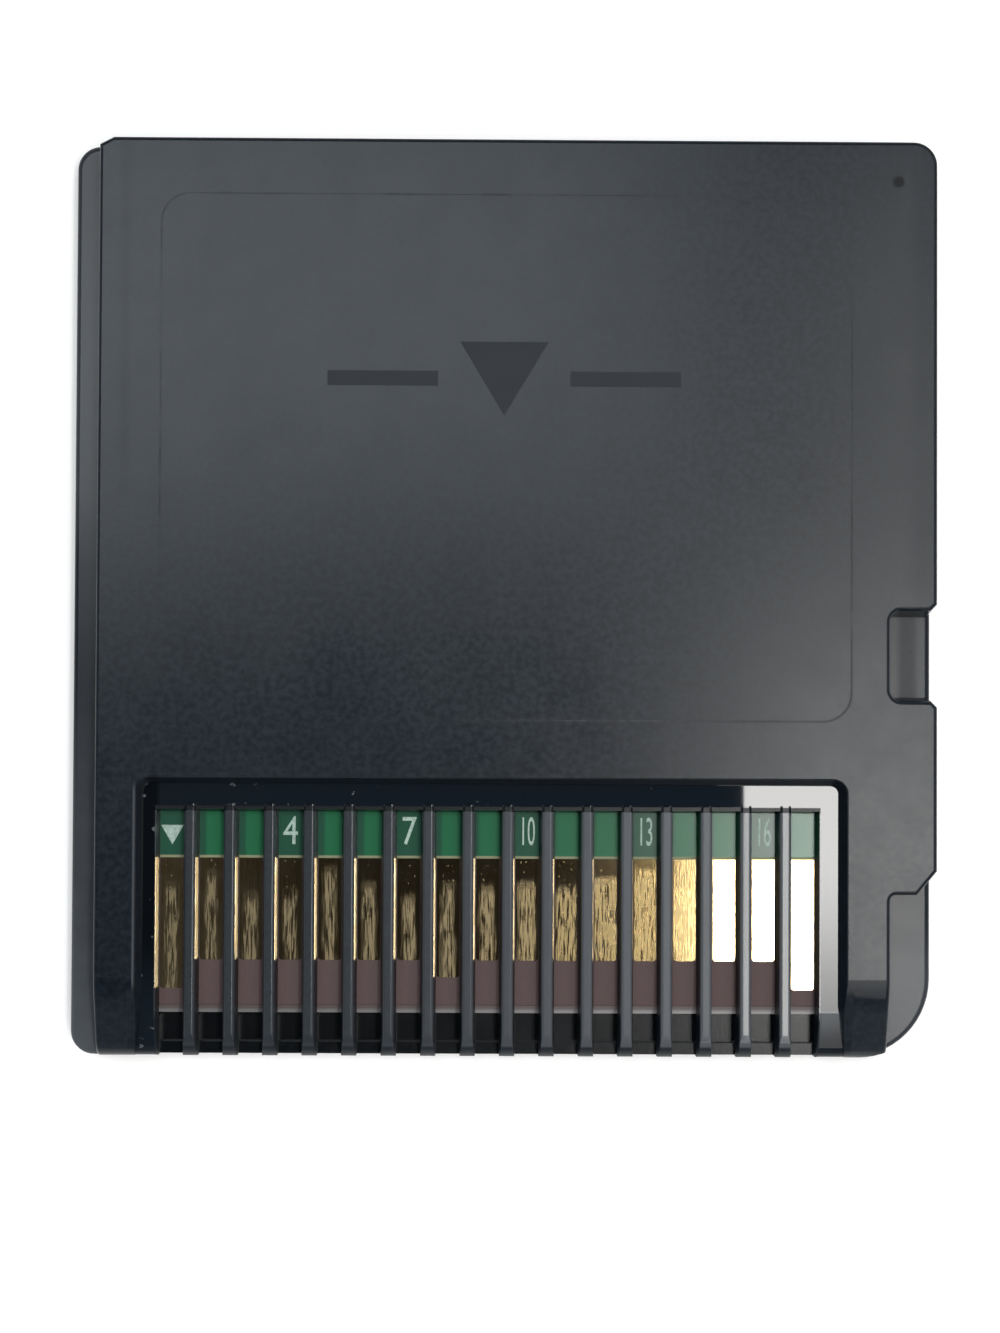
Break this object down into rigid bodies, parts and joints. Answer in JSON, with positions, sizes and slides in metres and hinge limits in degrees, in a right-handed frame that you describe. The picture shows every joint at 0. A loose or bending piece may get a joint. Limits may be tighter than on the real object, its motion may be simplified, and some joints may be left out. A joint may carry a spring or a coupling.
{
  "type": "game cartridge",
  "caption": "Thin game card: plastic shells around a small circuit board, with gold contacts behind a ribbed window at one edge, a side lock notch and a keyed corner.",
  "frame": {"origin": "centre of the card's outline, on the label-side plane that it rests on", "axes": "+Z out of the contact side, -Y towards the contact edge, +X towards the lock notch"},
  "size_m": [0.033, 0.035, 0.0038],
  "materials": {
    "shell_plastic": "charcoal plastic, finely textured outside and glossy inside the contact window",
    "board_laminate": "green solder mask over bare brown laminate at the contact edge",
    "contact_gold": "gold plating with fine lengthwise scratches",
    "chip_resin": "black moulding resin",
    "lead_tin": "tinned metal",
    "capacitor_ceramic": "tan ceramic with tinned ends",
    "resistor_ceramic": "black glaze with tinned ends"
  },
  "bodies": {
    "root": {"front_shell": "shell_plastic", "rear_shell": "shell_plastic", "circuit_board": "board_laminate", "contact_01": "contact_gold", "contact_02": "contact_gold", "contact_03": "contact_gold", "contact_04": "contact_gold", "contact_05": "contact_gold", "contact_06": "contact_gold", "contact_07": "contact_gold", "contact_08": "contact_gold", "contact_09": "contact_gold", "contact_10": "contact_gold", "contact_11": "contact_gold", "contact_12": "contact_gold", "contact_13": "contact_gold", "contact_14": "contact_gold", "contact_15": "contact_gold", "contact_16": "contact_gold", "contact_17": "contact_gold", "rom_chip": "chip_resin", "save_chip": "chip_resin", "rom_leads": "lead_tin", "save_leads": "lead_tin", "capacitor_1": "capacitor_ceramic", "capacitor_2": "capacitor_ceramic", "capacitor_3": "capacitor_ceramic", "resistor_1": "resistor_ceramic", "resistor_2": "resistor_ceramic"}
  },
  "joints": []
}
